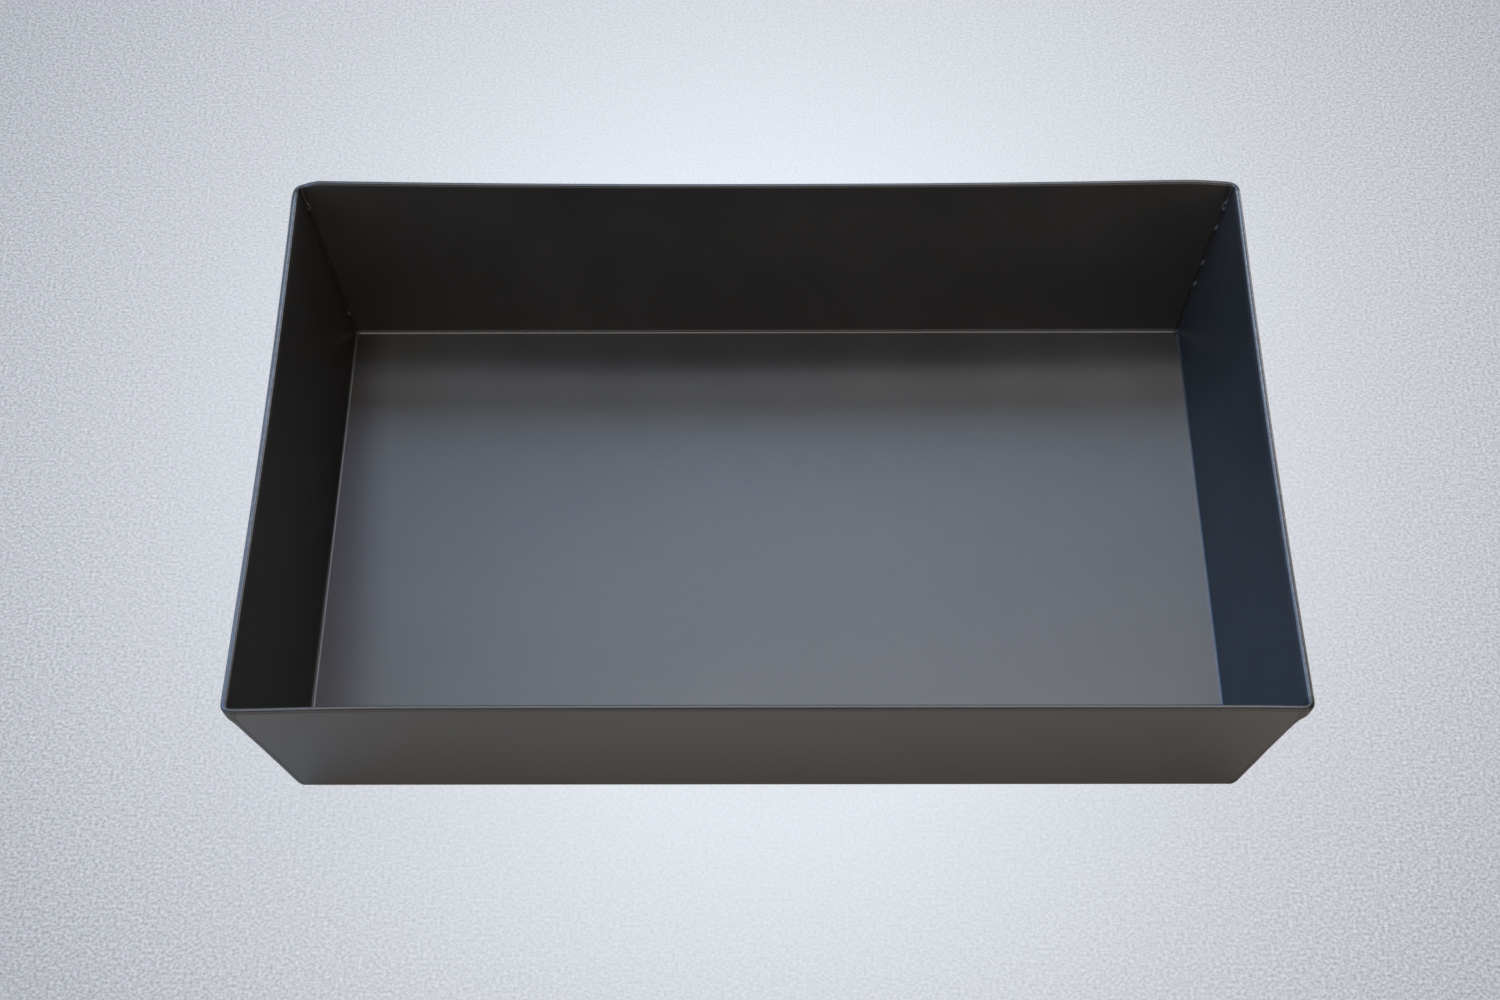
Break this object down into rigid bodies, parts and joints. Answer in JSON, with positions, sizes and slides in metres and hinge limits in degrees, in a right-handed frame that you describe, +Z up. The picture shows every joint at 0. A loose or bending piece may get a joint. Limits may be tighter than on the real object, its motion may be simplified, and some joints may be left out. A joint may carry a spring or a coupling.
{
  "type": "pizza pan",
  "caption": "Deep rectangular pizza pan folded from dark anodised aluminium sheet, with flared walls, a plain cut rim and welded corners.",
  "frame": {"origin": "middle of the flat underside, on the surface that the pan stands on", "axes": "+X along the pan's long side, +Y along its short side, +Z up out of the pan's open top"},
  "size_m": [0.3556, 0.254, 0.0645],
  "materials": {
    "anodised_sheet": "hard anodised, satin dark grey",
    "anodised_seam": "weld metal, hard anodised, satin dark grey",
    "anodised_tack": "weld metal, hard anodised, a little darker than the sheet"
  },
  "bodies": {
    "root": {"pan_sheet": "anodised_sheet", "seam_weld_front_left": "anodised_seam", "seam_weld_front_right": "anodised_seam", "seam_weld_back_left": "anodised_seam", "seam_weld_back_right": "anodised_seam", "rim_tack_front_left": "anodised_tack", "rim_tack_front_right": "anodised_tack", "rim_tack_back_left": "anodised_tack", "rim_tack_back_right": "anodised_tack"}
  },
  "joints": []
}
